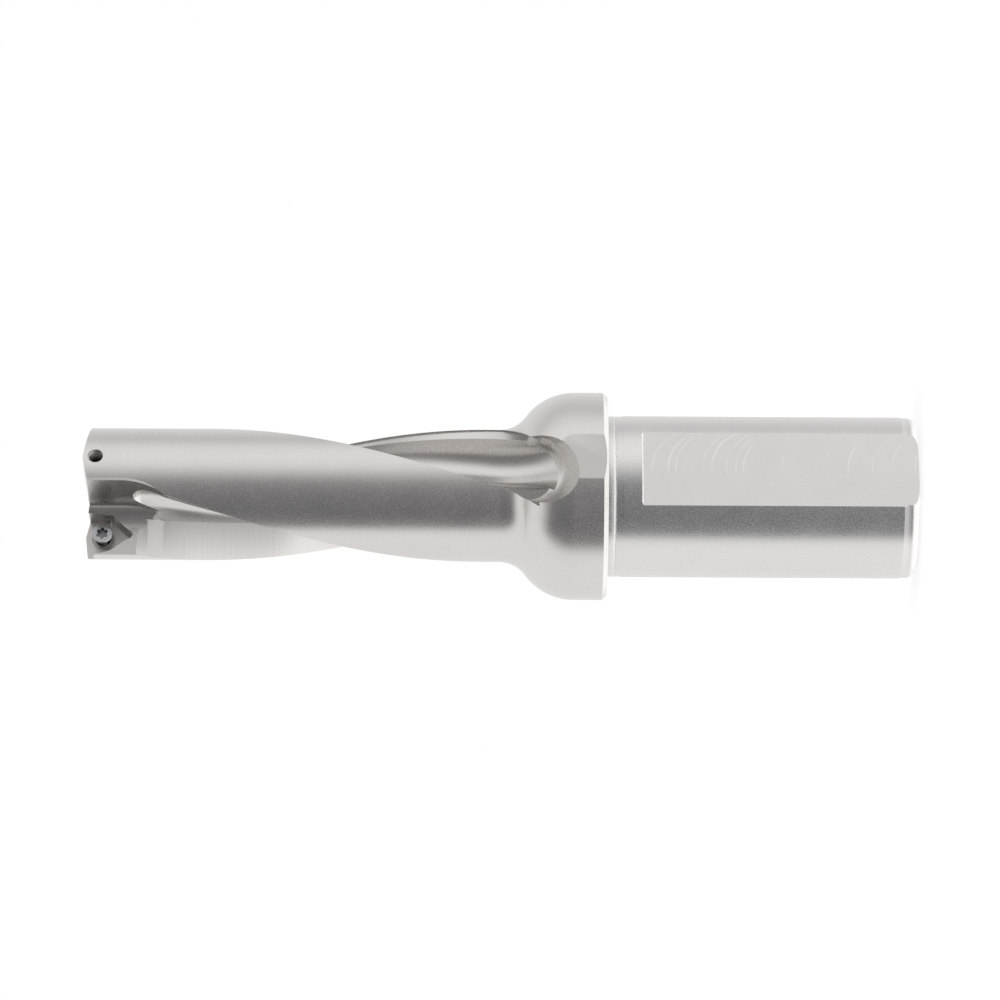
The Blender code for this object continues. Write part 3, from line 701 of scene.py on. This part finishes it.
def front_cutters(side, other, finish):
    """What lies in front of the side's front face, which slopes both ways from its ridge."""
    reach = BODY_DIAMETER / 2.0 + CLEAR
    top = OVERALL_LENGTH + 2.0 * CLEAR
    slope = 90.0 - INSERT_CORNER_ANGLE
    inner = math.tan(math.radians(slope + side.insert_tilt))
    outer = math.tan(math.radians(slope - side.insert_tilt))
    relief = math.tan(math.radians(FRONT_RELIEF))
    half = math.radians(INSERT_CORNER_ANGLE / 2.0)
    apex = INSERT_CIRCLE / 2.0 / math.sin(math.pi / 3.0 + half)
    ridge_x = side.insert_offset - apex * math.sin(math.radians(side.insert_tilt))
    ridge_z = side.insert_height + apex - side.front_setback

    def face(x, y):
        fall = (ridge_x - x) * inner if x < ridge_x else (x - ridge_x) * outer
        return ridge_z - fall + (y + INSERT_THICKNESS) * relief

    edge = side.wall_offset - FRONT_OVERLAP
    spans = (
        ((edge, ridge_x, reach), reach),
        ((-other.wall_offset - FRONT_OVERLAP, edge + 2.0 * FRONT_OVERLAP), FRONT_OVERLAP),
    )
    made = []
    for number, (stations, y_high) in enumerate(spans):
        rings = []
        for y in (-reach, y_high):
            low = [(x, y, face(x, y)) for x in stations]
            rings.append(low + [(stations[-1], y, top), (stations[0], y, top)])
        mesh = stacked_mesh(rings)
        bmesh.ops.transform(mesh, matrix=side.frame, verts=mesh.verts)
        made.append(add_object(f"{side.name}_front_cutter_{number + 1}", mesh, finish))
    return made


def flat_cutter(name, distance, low, high, finish):
    """A block that leaves a flat facing -Y at a distance from the axis, with a bevel in its top corner."""
    reach = FLANGE_DIAMETER
    rings = []
    for height, depth in ((low, distance), (high - FLAT_CORNER, distance), (high, distance + FLAT_CORNER)):
        corners = [(-reach, -reach), (reach, -reach), (reach, -depth), (-reach, -depth)]
        rings.append([(x, y, height) for x, y in corners])
    return add_object(name, stacked_mesh(rings), finish)


def coolant_cutters(finish):
    """The inlet bore, the channel up the middle and a branch to each land's front face."""
    inlet = (0, 0, -CLEAR), (0, 0, INLET_DEPTH)
    made = [drilled("inlet_cutter", *inlet, INLET_DIAMETER, finish, DRILL_POINT_ANGLE)]
    mouth = INLET_DIAMETER / 2.0
    profile = [(0.0, -CLEAR), (mouth + INLET_CHAMFER + CLEAR, -CLEAR), (0.0, mouth + INLET_CHAMFER)]
    made.append(turned_object("inlet_chamfer_cutter", profile, HOLE_SEGMENTS, finish))
    channel = (0, 0, INLET_DEPTH), (0, 0, CHANNEL_TOP)
    made.append(drilled("channel_cutter", *channel, CHANNEL_DIAMETER, finish, DRILL_POINT_ANGLE))
    for side, (x, y) in zip(SIDES, (PERIPHERAL_BRANCH_MOUTH, CENTRAL_BRANCH_MOUTH)):
        root = Vector((0.0, 0.0, CHANNEL_TOP - CHANNEL_DIAMETER / 2.0))
        mouth_point = side.frame @ Vector((x, y, OVERALL_LENGTH))
        end = mouth_point + (mouth_point - root).normalized() * CLEAR
        made.append(drilled(side.name + "_branch_cutter", root, end, BRANCH_DIAMETER, finish))
    return made


def true_turned_normals(obj):
    """Gives the turned faces the normals of the lathe's own curve, so that long thin faces look smooth."""
    mesh = obj.data
    normals = np.empty(len(mesh.loops) * 3, np.float32)
    mesh.corner_normals.foreach_get("vector", normals)
    normals = normals.reshape(-1, 3)
    band_foot = SHANK_LENGTH + FLANGE_CHAMFER
    neck_foot = SHANK_LENGTH - NECK_LENGTH
    for face in mesh.polygons:
        if face.material_index:
            continue
        height = face.center.z
        shank = END_STEP_HEIGHT + END_STEP_RISE < height < neck_foot - NECK_GROOVE_WIDTH
        if height < band_foot and not shank:
            continue
        for loop in face.loop_indices:
            point = mesh.vertices[mesh.loops[loop].vertex_index].co
            if height > band_foot:
                normals[loop] = turned_normal(point)
            else:
                normals[loop] = Vector((point.x, point.y, 0)).normalized()
    mesh.normals_split_custom_set(normals)


def drill_body(finishes):
    """The one-piece body: turned first, then every milled and drilled feature taken out."""
    body = turned_object("drill_body_finish", body_profile(), TURNED_SEGMENTS, finishes["turned"])
    shank = SHANK_DIAMETER / 2.0
    flange = FLANGE_DIAMETER / 2.0
    foot = SHANK_LENGTH - NECK_LENGTH / 2.0
    cutters = [
        flat_cutter("side_flat_cutter", shank - SIDE_FLAT_DEPTH, -CLEAR, SIDE_FLAT_LENGTH, finishes["flat"]),
        flat_cutter("flange_flat_cutter", flange - FLANGE_FLAT_DEPTH, foot, blend_end(), finishes["facet"]),
    ]
    for side, other in (SIDES, SIDES[::-1]):
        cutters += front_cutters(side, other, finishes["milled"])
        cutters += [flute_cutter(side, finishes["flute"]), round_end_cutter(side, finishes["flute"])]
        cutters.append(run_out_cutter(side, finishes["flute"]))
        cutters += [gullet_cutter(side, finishes["milled"]), pocket_cutter(side, finishes["pocket"])]
        cutters += relief_cutters(side, finishes["pocket"]) + screw_hole_cutters(side, finishes["bore"])
    cut(body, cutters + coolant_cutters(finishes["bore"]))
    make_active(body)
    bpy.ops.object.shade_smooth_by_angle(angle=math.radians(SMOOTH_ANGLE))
    true_turned_normals(body)
    return body


# Insert screws and threads


def recess_cutter(name, finish):
    """The six-lobed drive recess, from above the head down to its floor."""
    middle = (RECESS_OUTER_DIAMETER + RECESS_INNER_DIAMETER) / 4.0
    swing = (RECESS_OUTER_DIAMETER - RECESS_INNER_DIAMETER) / 4.0
    rings = []
    for height in (-RECESS_DEPTH, CLEAR):
        ring = []
        for k in range(RECESS_SEGMENTS):
            turn = 2.0 * math.pi * k / RECESS_SEGMENTS
            radius = middle + swing * math.cos(6.0 * turn)
            ring.append((radius * math.cos(turn), radius * math.sin(turn), height))
        rings.append(ring)
    return add_object(name, stacked_mesh(rings), finish)


def thread_ridge(name, radius, height, low, high, finish):
    """A helical ridge of one thread, with its crest at the radius plus the height, which may be inward."""
    turns = int((high - low) / THREAD_PITCH)
    half = THREAD_PITCH * THREAD_ROOT_SHARE
    flat = half * THREAD_CREST_SHARE
    root = radius - math.copysign(THREAD_ROOT, height)
    section = [(root, -half), (radius + height, -flat), (radius + height, flat), (root, half)]
    mesh = bmesh.new()
    rows = []
    for k in range(turns * THREAD_SEGMENTS + 1):
        turn = 2.0 * math.pi * k / THREAD_SEGMENTS
        rise = low + THREAD_PITCH * k / THREAD_SEGMENTS
        rows.append([mesh.verts.new((r * math.cos(turn), r * math.sin(turn), rise + z)) for r, z in section])
    for one, other in zip(rows, rows[1:]):
        for k in range(4):
            after = (k + 1) % 4
            mesh.faces.new((one[k], one[after], other[after], other[k]))
    mesh.faces.new(rows[0][::-1])
    mesh.faces.new(rows[-1])
    return add_object(name, mesh, finish)


def insert_screw(side, finish, recess_shade_finish):
    """A countersunk screw with a six-lobed recess and a rolled thread."""
    head = SCREW_HEAD_DIAMETER / 2.0
    neck = THREAD_DIAMETER / 2.0 - THREAD_CLEARANCE
    core = neck - SCREW_THREAD_HEIGHT
    cone_foot = -SCREW_HEAD_RIM - SCREW_HEAD_CONE
    thread_top = -INSERT_THICKNESS + SCREW_NECK_STEP
    profile = [(0.0, -SCREW_LENGTH), (core - SCREW_TIP_BEVEL, -SCREW_LENGTH)]
    profile += [(core, -SCREW_LENGTH + SCREW_TIP_BEVEL), (core, thread_top - SCREW_NECK_STEP)]
    profile += [(neck, thread_top), (neck, cone_foot), (head, -SCREW_HEAD_RIM)]
    profile += [(head, -SCREW_HEAD_BEVEL), (head - SCREW_HEAD_BEVEL, 0.0), (0.0, 0.0)]
    screw = turned_object(side.name + "_screw_finish", profile, SCREW_SEGMENTS, finish)
    # The recess's faces take the darker recess finish: painted shade inside the recess.
    cut(screw, [recess_cutter(side.name + "_recess_cutter", recess_shade_finish)])
    low, high = -SCREW_LENGTH + SCREW_THREAD_GAP, thread_top - SCREW_THREAD_GAP
    ridge = thread_ridge(side.name + "_screw_thread", core, SCREW_THREAD_HEIGHT, low, high, finish)
    make_active(screw)
    ridge.select_set(True)
    bpy.ops.object.join()
    bpy.ops.object.shade_smooth_by_angle(angle=math.radians(SMOOTH_ANGLE))
    screw.data.transform(seat_frame(side) @ Matrix.Translation((0.0, 0.0, -SCREW_HEAD_SINK)))
    return screw


def hole_thread(side, finish):
    """The tapped thread inside the hole, down to the mouth on the body's side."""
    hole = THREAD_DIAMETER / 2.0
    mouth = -INSERT_THICKNESS - HOLE_RIM_DEPTH
    axis_far = seat_frame(side) @ Vector((0.0, 0.0, -1.0)) - seat_frame(side) @ Vector((0.0, 0.0, 0.0))
    centre = seat_frame(side) @ Vector((0.0, 0.0, 0.0))
    body = BODY_DIAMETER / 2.0
    across = centre.x * axis_far.x + centre.y * axis_far.y
    outside = centre.x**2 + centre.y**2 - (body - HOLE_THREAD_SETBACK) ** 2
    length = -across + math.sqrt(across**2 - outside)
    high = mouth - HOLE_THREAD_MOUTH
    obj = thread_ridge(side.name + "_hole_thread", hole, -HOLE_THREAD_HEIGHT, -length, high, finish)
    make_active(obj)
    bpy.ops.object.shade_smooth_by_angle(angle=math.radians(SMOOTH_ANGLE))
    obj.data.transform(seat_frame(side))
    return obj


# Finishes


class Nodes:
    """A short way to add and link shader nodes in one tree."""

    def __init__(self, tree):
        self.tree = tree

    def add(self, kind, inputs=(), **settings):
        node = self.tree.nodes.new(kind)
        for name, value in settings.items():
            setattr(node, name, value)
        for key, value in dict(inputs).items():
            if isinstance(value, bpy.types.NodeSocket):
                self.tree.links.new(value, node.inputs[key])
            else:
                node.inputs[key].default_value = value
        return node

    def math(self, operation, first, second=0.0, third=0.0):
        return self.add("ShaderNodeMath", {0: first, 1: second, 2: third}, operation=operation).outputs[0]

    def ramp(self, value, stops, interpolation="LINEAR"):
        node = self.add("ShaderNodeValToRGB", {0: value})
        ramp = node.color_ramp
        ramp.interpolation = interpolation
        while len(ramp.elements) < len(stops):
            ramp.elements.new(0.5)
        for element, (place, level) in zip(ramp.elements, stops):
            element.position = place
            element.color = (level, level, level, 1.0)
        return node.outputs[0]


def blasted_grain_group():
    """Fine grain of a blasted and plated surface: a height and a faint mottle."""
    tree = bpy.data.node_groups.new("blasted_grain", "ShaderNodeTree")
    for name, default in (("Grain Size", 0.00026), ("Mottle Size", 0.006)):
        socket = tree.interface.new_socket(name, in_out="INPUT", socket_type="NodeSocketFloat")
        socket.default_value = default
    tree.interface.new_socket("Height", in_out="OUTPUT", socket_type="NodeSocketFloat")
    tree.interface.new_socket("Mottle", in_out="OUTPUT", socket_type="NodeSocketFloat")
    nodes = Nodes(tree)
    given = nodes.add("NodeGroupInput").outputs
    place = nodes.add("ShaderNodeTexCoord").outputs["Object"]
    fine = nodes.math("DIVIDE", 1.0, given["Grain Size"])
    broad = nodes.math("DIVIDE", 1.0, given["Mottle Size"])
    grain_inputs = {"Vector": place, "Scale": fine, "Detail": 1.0, "Roughness": 0.6}
    grain = nodes.add("ShaderNodeTexNoise", grain_inputs)
    mottle_inputs = {"Vector": place, "Scale": broad, "Detail": 3.0, "Roughness": 0.55}
    mottle = nodes.add("ShaderNodeTexNoise", mottle_inputs)
    out = nodes.add("NodeGroupOutput")
    tree.links.new(grain.outputs["Fac"], out.inputs["Height"])
    tree.links.new(mottle.outputs["Fac"], out.inputs["Mottle"])
    return tree


def steel(name, colour, roughness, grain_group, sparkle=0.4, marks=None, marks_depth=0.0, marks_painted_glint=0.0,
          shank_colour=None):
    """A metal finish with grain, faint mottle and, where a function draws them, machining marks, which may
    also be painted lighter in the colour as a painted glint off the grooves.
    """
    finish = bpy.data.materials.new(name)
    finish.use_nodes = True
    tree = finish.node_tree
    shader = tree.nodes["Principled BSDF"]
    shader.inputs["Metallic"].default_value = 1.0
    nodes = Nodes(tree)
    grain = nodes.add("ShaderNodeGroup", node_tree=grain_group)
    if shank_colour:
        place = nodes.add("ShaderNodeTexCoord").outputs["Object"]
        height = nodes.add("ShaderNodeSeparateXYZ", {0: place}).outputs["Z"]
        above = nodes.math("GREATER_THAN", height, SHANK_LENGTH)
        mixed = nodes.add("ShaderNodeMix", {0: above}, data_type="RGBA")
        mixed.inputs[6].default_value = (*shank_colour, 1.0)
        mixed.inputs[7].default_value = (*colour, 1.0)
        colour = mixed.outputs[2]
    speck = nodes.math("SUBTRACT", grain.outputs["Height"], 0.5)
    spread = nodes.math("MULTIPLY_ADD", grain.outputs["Mottle"], 0.08, 0.96)
    shade = nodes.math("MULTIPLY_ADD", speck, 0.12 * sparkle, spread)
    drawn = marks(nodes) if marks else None
    # Painted glint: the drawn marks lift the base colour, standing in for light caught on the groove flanks.
    if marks_painted_glint:
        shade = nodes.math("MULTIPLY_ADD", drawn, marks_painted_glint, shade)
    tinted = nodes.add("ShaderNodeVectorMath", {0: colour, "Scale": shade}, operation="SCALE")
    tree.links.new(tinted.outputs[0], shader.inputs["Base Color"])
    rough = nodes.math("MULTIPLY_ADD", grain.outputs["Mottle"], 0.06, roughness - 0.03)
    rough = nodes.math("MULTIPLY_ADD", speck, sparkle, rough)
    tree.links.new(rough, shader.inputs["Roughness"])
    depth = GRAIN_DEPTH * sparkle
    height = grain.outputs["Height"]
    bump = nodes.add("ShaderNodeBump", {"Height": height, "Strength": 1.0, "Distance": depth})
    if marks:
        second = nodes.add("ShaderNodeBump", {"Height": drawn, "Strength": 1.0, "Distance": marks_depth})
        tree.links.new(bump.outputs[0], second.inputs["Normal"])
        bump = second
    tree.links.new(bump.outputs[0], shader.inputs["Normal"])
    return finish


def lathe_marks(nodes):
    """Fine turning grooves: a height that changes only along the drill's axis."""
    place = nodes.add("ShaderNodeTexCoord").outputs["Object"]
    height = nodes.add("ShaderNodeSeparateXYZ", {0: place}).outputs["Z"]
    inputs = {"W": height, "Scale": 3200.0, "Detail": 2.0}
    return nodes.add("ShaderNodeTexNoise", inputs, noise_dimensions="1D").outputs["Fac"]


def flute_marks(nodes):
    """Milling ripples across the flute: they change mostly along the drill's axis."""
    place = nodes.add("ShaderNodeTexCoord").outputs["Object"]
    stretched = nodes.add("ShaderNodeMapping", {"Vector": place, "Scale": (90.0, 90.0, 1500.0)})
    inputs = {"Vector": stretched.outputs[0], "Scale": 1.0, "Detail": 2.0}
    return nodes.add("ShaderNodeTexNoise", inputs).outputs["Fac"]


def swirl_marks(nodes):
    """Arcs that a wide facing cutter leaves on the side flat, stronger on one half."""
    place = nodes.add("ShaderNodeTexCoord").outputs["Object"]
    parts = nodes.add("ShaderNodeSeparateXYZ", {0: place}).outputs
    square = nodes.math("MULTIPLY", parts["X"], parts["X"])
    inside = nodes.math("MAXIMUM", nodes.math("SUBTRACT", SWIRL_RADIUS**2, square), 0.0)
    phase = nodes.math("SUBTRACT", parts["Z"], nodes.math("SQRT", inside))
    line_inputs = {"W": phase, "Scale": 1300.0, "Detail": 1.0}
    lines = nodes.add("ShaderNodeTexNoise", line_inputs, noise_dimensions="1D")
    thin = nodes.ramp(lines.outputs["Fac"], ((0.0, 0.0), (0.62, 0.0), (0.70, 1.0), (1.0, 1.0)))
    patches = nodes.add("ShaderNodeTexNoise", {"Vector": place, "Scale": 130.0, "Detail": 1.0})
    mask = nodes.ramp(patches.outputs["Fac"], ((0.0, 0.0), (0.44, 0.0), (0.54, 1.0), (1.0, 1.0)))
    half = nodes.math("MULTIPLY_ADD", parts["X"], 400.0, 0.6)
    half = nodes.math("MINIMUM", nodes.math("MAXIMUM", half, 0.08), 1.0)
    return nodes.math("MULTIPLY", nodes.math("MULTIPLY", thin, mask), half)


def make_finishes():
    grain = blasted_grain_group()
    warm = (0.66, 0.64, 0.62)
    shank = (0.70, 0.69, 0.68)
    flat = (0.735, 0.725, 0.715)
    return {
        "turned": steel("turned_steel_finish", warm, 0.27, grain, 0.36, shank_colour=shank),
        "facet": steel("flange_flat_finish", (0.60, 0.58, 0.56), 0.34, grain, 0.2),
        # The side flat's swirl marks are also painted lighter in the colour, a painted glint.
        "flat": steel("side_flat_finish", flat, 0.30, grain, 0.25, swirl_marks, 0.000006, 0.13),
        "milled": steel("gullet_finish", (0.55, 0.53, 0.51), 0.26, grain, 0.06),
        "flute": steel("flute_finish", warm, 0.27, grain, 0.05, flute_marks, 0.000006),
        "pocket": steel("pocket_finish", (0.60, 0.57, 0.55), 0.32, grain, 0.05),
        "bore": steel("bore_finish", (0.42, 0.40, 0.38), 0.38, grain, 0.1, lathe_marks, 0.00001),
        "screw": steel("screw_finish", (0.42, 0.42, 0.43), 0.15, grain, 0.03),
        # Painted shade: the drive recess is coloured much darker than the screw's own steel.
        "recess": steel("recess_finish", (0.26, 0.26, 0.27), 0.28, grain, 0.05),
    }


# Stage


def studio_world():
    """A white studio with a dark side behind the camera and a strong light past the shank's end."""
    world = bpy.data.worlds.new("studio")
    bpy.context.scene.world = world
    world.use_nodes = True
    tree = world.node_tree
    background = tree.nodes["Background"]
    nodes = Nodes(tree)
    way = nodes.add("ShaderNodeTexCoord").outputs["Generated"]
    toward, up = (
        nodes.add("ShaderNodeVectorMath", {0: way, 1: axis}, operation="DOT_PRODUCT").outputs["Value"]
        for axis in (TOWARD_CAMERA, PICTURE_UP)
    )
    angle = nodes.math("ARCTAN2", up, toward)
    share = nodes.math("MULTIPLY_ADD", angle, 0.5 / math.pi, 0.5)
    stops = [((degrees + 180.0) / 360.0, level / BRIGHTEST) for degrees, level in STUDIO_ROUND]
    band = nodes.ramp(share, stops)
    height = nodes.add("ShaderNodeSeparateXYZ", {0: way}).outputs["Z"]
    above = nodes.ramp(height, STUDIO_ABOVE)
    below = nodes.ramp(nodes.math("MULTIPLY", height, -1.0), STUDIO_BELOW)
    level = nodes.math("MULTIPLY", band, BRIGHTEST)
    for share, light in ((above, 1.0), (below, SHANK_END_LIGHT)):
        level = nodes.add("ShaderNodeMix", {0: share, 2: level, 3: light}, data_type="FLOAT").outputs[0]
    tint = nodes.add("ShaderNodeMix", {0: nodes.math("MULTIPLY_ADD", level, 1.25, -0.25)}, data_type="RGBA")
    tint.inputs[6].default_value = (0.955, 0.97, 1.0, 1.0)
    tint.inputs[7].default_value = (1.0, 1.0, 1.0, 1.0)
    tree.links.new(tint.outputs[2], background.inputs["Color"])
    seen = nodes.add("ShaderNodeLightPath").outputs["Is Camera Ray"]
    strength = nodes.add("ShaderNodeMix", {0: seen, 2: level, 3: 1.0}, data_type="FLOAT")
    tree.links.new(strength.outputs[0], background.inputs["Strength"])


def pale_floor():
    """The pale floor that the drill stands on. The drill's own reflections show the studio in its place."""
    deselect_all()
    bpy.ops.mesh.primitive_plane_add(size=4.0, location=(0.0, 0.0, 0.0))
    floor = bpy.context.active_object
    floor.name = "floor"
    finish = bpy.data.materials.new("pale_floor")
    finish.use_nodes = True
    tree = finish.node_tree
    nodes = Nodes(tree)
    path = nodes.add("ShaderNodeLightPath").outputs
    shader = tree.nodes["Principled BSDF"]
    shader.inputs["Base Color"].default_value = (0.9, 0.9, 0.9, 1.0)
    shader.inputs["Roughness"].default_value = 0.9
    shader.inputs["Specular IOR Level"].default_value = 0.0
    shader.inputs["Emission Color"].default_value = (1.0, 1.0, 1.0, 1.0)
    tree.links.new(nodes.math("MULTIPLY", path["Is Camera Ray"], 0.35), shader.inputs["Emission Strength"])
    clear = nodes.add("ShaderNodeBsdfTransparent")
    mixed = nodes.add("ShaderNodeMixShader", {0: path["Is Glossy Ray"]})
    tree.links.new(shader.outputs[0], mixed.inputs[1])
    tree.links.new(clear.outputs[0], mixed.inputs[2])
    tree.links.new(mixed.outputs[0], tree.nodes["Material Output"].inputs["Surface"])
    floor.data.materials.append(finish)


def photograph_camera():
    """The camera square to the drill's side, rolled so that the drill lies across the picture."""
    roll = math.radians(CAMERA_ROLL)
    along = Vector((0.0, 0.0, -1.0))
    right = along * math.cos(roll) + PICTURE_UP * math.sin(roll)
    up = PICTURE_UP * math.cos(roll) - along * math.sin(roll)
    camera = bpy.data.cameras.new("camera")
    camera.sensor_width = SENSOR_WIDTH
    camera.lens = SENSOR_WIDTH * CAMERA_DISTANCE / FRAME_WIDTH
    camera.clip_end = 20.0
    obj = bpy.data.objects.new("camera", camera)
    bpy.context.scene.collection.objects.link(obj)
    place = Matrix((right, up, TOWARD_CAMERA)).transposed().to_4x4()
    target = Vector((0.0, 0.0, VIEW_HEIGHT)) - PICTURE_UP * VIEW_DROP
    place.translation = target + TOWARD_CAMERA * CAMERA_DISTANCE
    obj.matrix_world = place
    bpy.context.scene.camera = obj


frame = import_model()
finishes = make_finishes()

body = drill_body(finishes)
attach(body, "root")
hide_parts("drill_body")

for side in SIDES:
    screw = insert_screw(side, finishes["screw"], finishes["recess"])
    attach(screw, "root")
    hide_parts(side.name + "_insert_screw")
    thread = hole_thread(side, finishes["bore"])
    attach(thread, "root")

studio_world()
pale_floor()
photograph_camera()
bpy.context.scene.view_settings.view_transform = "Standard"
